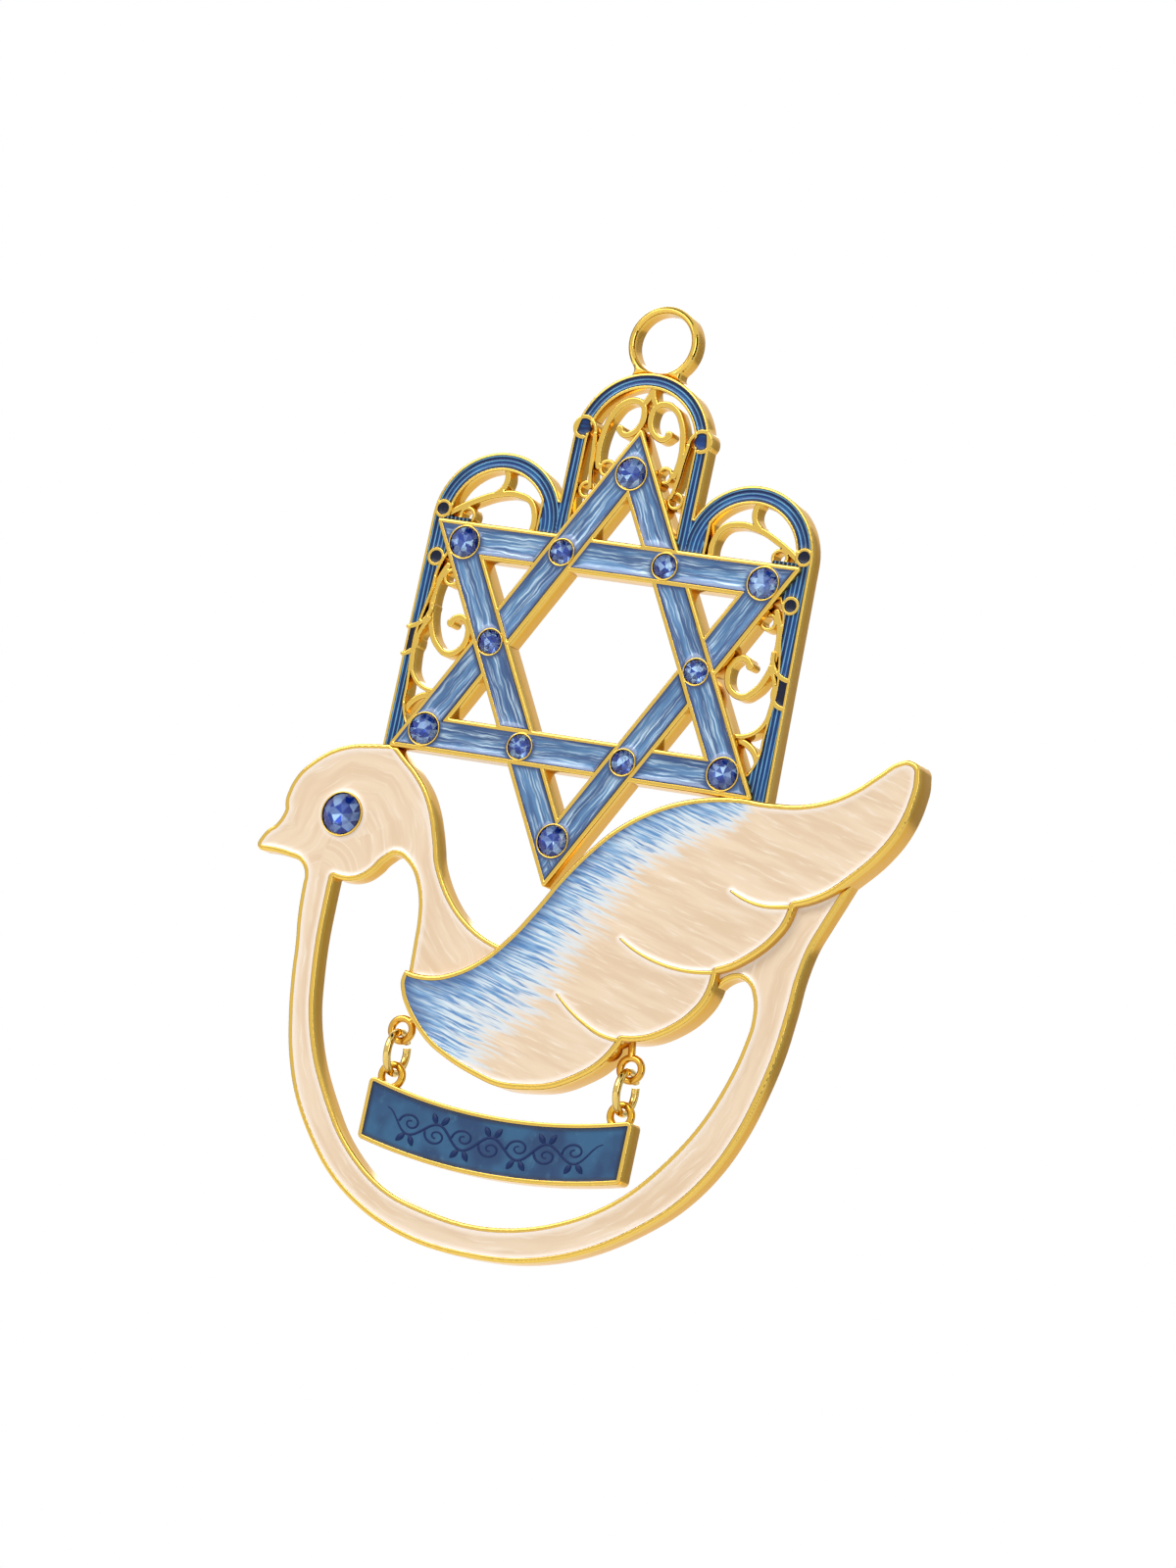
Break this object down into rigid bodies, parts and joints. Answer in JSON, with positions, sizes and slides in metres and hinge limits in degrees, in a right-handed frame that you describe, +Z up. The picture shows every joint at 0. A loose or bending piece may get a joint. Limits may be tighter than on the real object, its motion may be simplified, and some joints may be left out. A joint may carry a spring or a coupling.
{
  "type": "hamsa hand ornament",
  "caption": "Hanging hand-shaped charm: enamelled star, arches, dove, wing and loop in gilt relief, with blue stones and a banner on two jump rings.",
  "frame": {"origin": "centre of the hanging ring's hole, halfway through its thickness", "axes": "+X to the viewer's right across the ornament's front, +Y from the front face to the flat back, along the ring's hole, +Z up"},
  "size_m": [0.0884, 0.0062, 0.1215],
  "materials": {
    "gilt_metal": "cast relief, polished gold plate",
    "gilt_wire": "drawn wire, polished gold plate",
    "cream_enamel": "pearly cream enamel with fine light streaks",
    "wing_enamel": "pearly cream enamel, brushed with blue from the upper edge",
    "star_enamel": "pearly mid-blue enamel with light streaks",
    "arch_enamel": "dark teal-blue translucent enamel over fine ridges",
    "banner_enamel": "teal-blue translucent enamel",
    "blue_glass": "faceted sapphire-blue glass stones"
  },
  "bodies": {
    "ornament": {"arch_frame": "gilt_metal", "star_frame": "gilt_metal", "dove_frame": "gilt_metal", "wing_frame": "gilt_metal", "hanging_ring": "gilt_metal", "eye_stone": "blue_glass", "tip_stone_top": "blue_glass", "tip_stone_lower_left": "blue_glass", "tip_stone_lower_right": "blue_glass", "tip_stone_bottom": "blue_glass", "tip_stone_upper_right": "blue_glass", "tip_stone_upper_left": "blue_glass", "crossing_stone_right": "blue_glass", "crossing_stone_right_upper": "blue_glass", "crossing_stone_left_upper": "blue_glass", "crossing_stone_left": "blue_glass", "crossing_stone_left_lower": "blue_glass", "crossing_stone_right_lower": "blue_glass", "star_enamel_top": "star_enamel", "star_enamel_lower_left": "star_enamel", "star_enamel_lower_right": "star_enamel", "star_enamel_bottom": "star_enamel", "star_enamel_upper_right": "star_enamel", "star_enamel_upper_left": "star_enamel", "middle_arch_enamel": "arch_enamel", "left_arch_enamel": "arch_enamel", "right_arch_enamel": "arch_enamel", "volute_enamel": "arch_enamel", "left_side_enamel": "arch_enamel", "right_side_enamel": "arch_enamel", "dove_enamel": "cream_enamel", "wing_enamel": "wing_enamel"},
    "rings": {"left_jump_ring": "gilt_wire", "right_jump_ring": "gilt_wire"},
    "banner": {"banner_plate": "gilt_metal", "banner_enamel": "banner_enamel"}
  },
  "joints": [
    {"name": "ring_swing", "type": "hinge", "parent": "ornament", "child": "rings", "pos_m": [-0.0159, 0, -0.09162], "axis": [1, 0, 0], "range_deg": [-45, 45]},
    {"name": "banner_swing", "type": "hinge", "parent": "rings", "child": "banner", "pos_m": [-0.0159, 0, -0.09463], "axis": [1, 0, 0], "range_deg": [-45, 45]}
  ]
}
